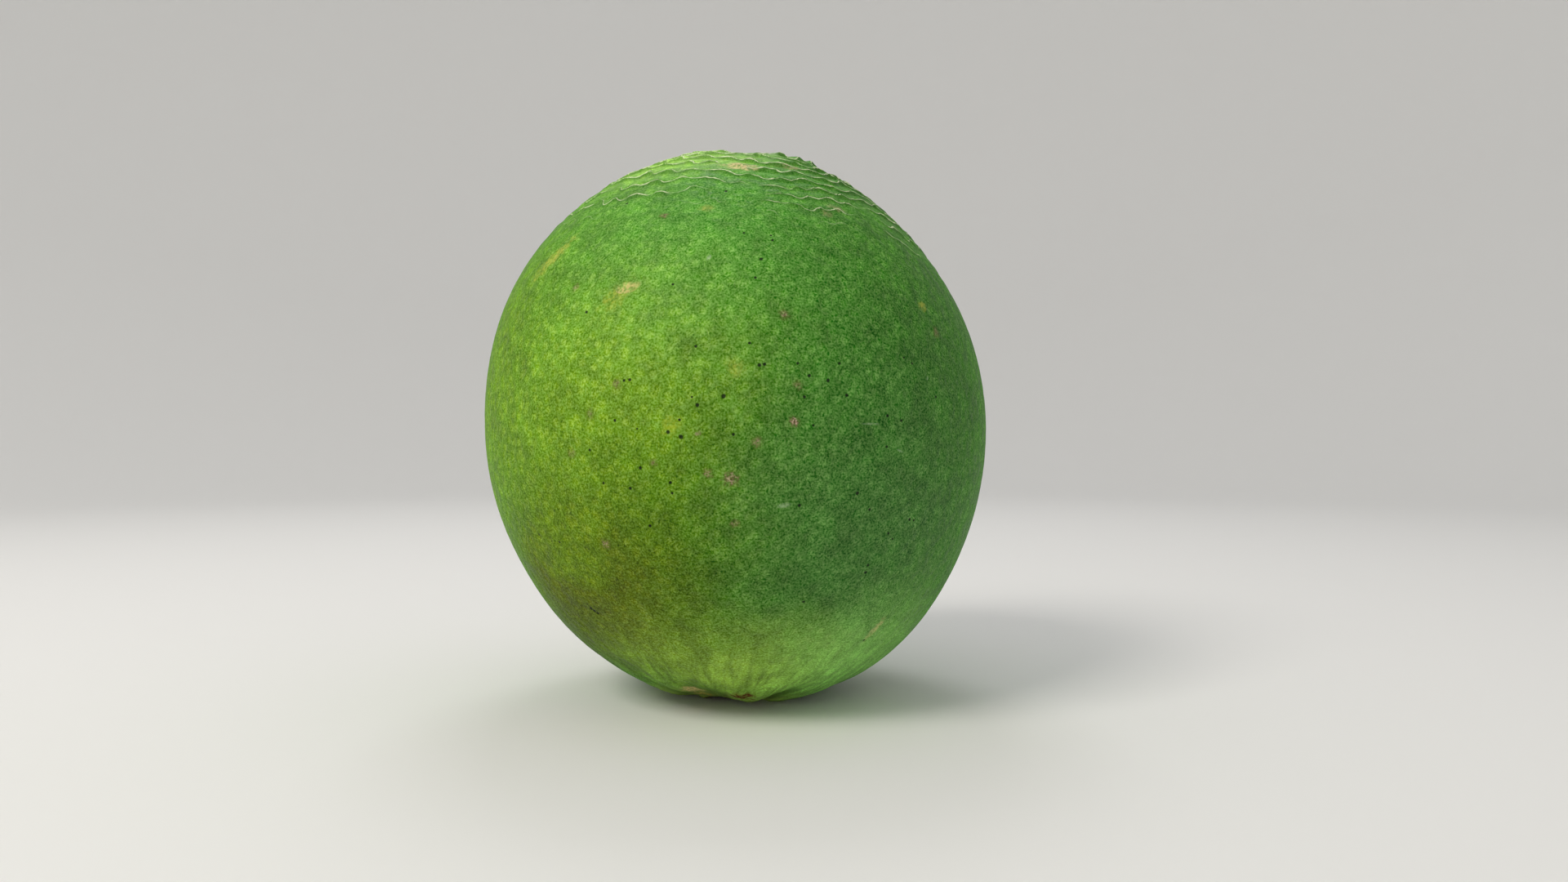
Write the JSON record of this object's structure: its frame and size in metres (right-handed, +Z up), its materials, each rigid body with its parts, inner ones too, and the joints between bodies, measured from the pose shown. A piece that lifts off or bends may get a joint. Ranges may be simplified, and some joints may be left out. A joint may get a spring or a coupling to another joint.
{
  "type": "lemon",
  "caption": "Whole green lemon, near-round, with a low ridged crown at the blossom end, standing on the shoulder round its stem scar.",
  "frame": {"origin": "middle of the bounding box, on the surface that the lemon stands on", "axes": "+Z up through the fruit, from its stem end to its blossom end; -Y towards the viewer, the pictured side; +X to the viewer's right"},
  "size_m": [0.0562, 0.0554, 0.0614],
  "materials": {
    "rind": "waxy citrus rind, satin, mottled green with pale oil glands and small corky marks"
  },
  "bodies": {
    "root": {"lemon": "rind"}
  },
  "joints": []
}
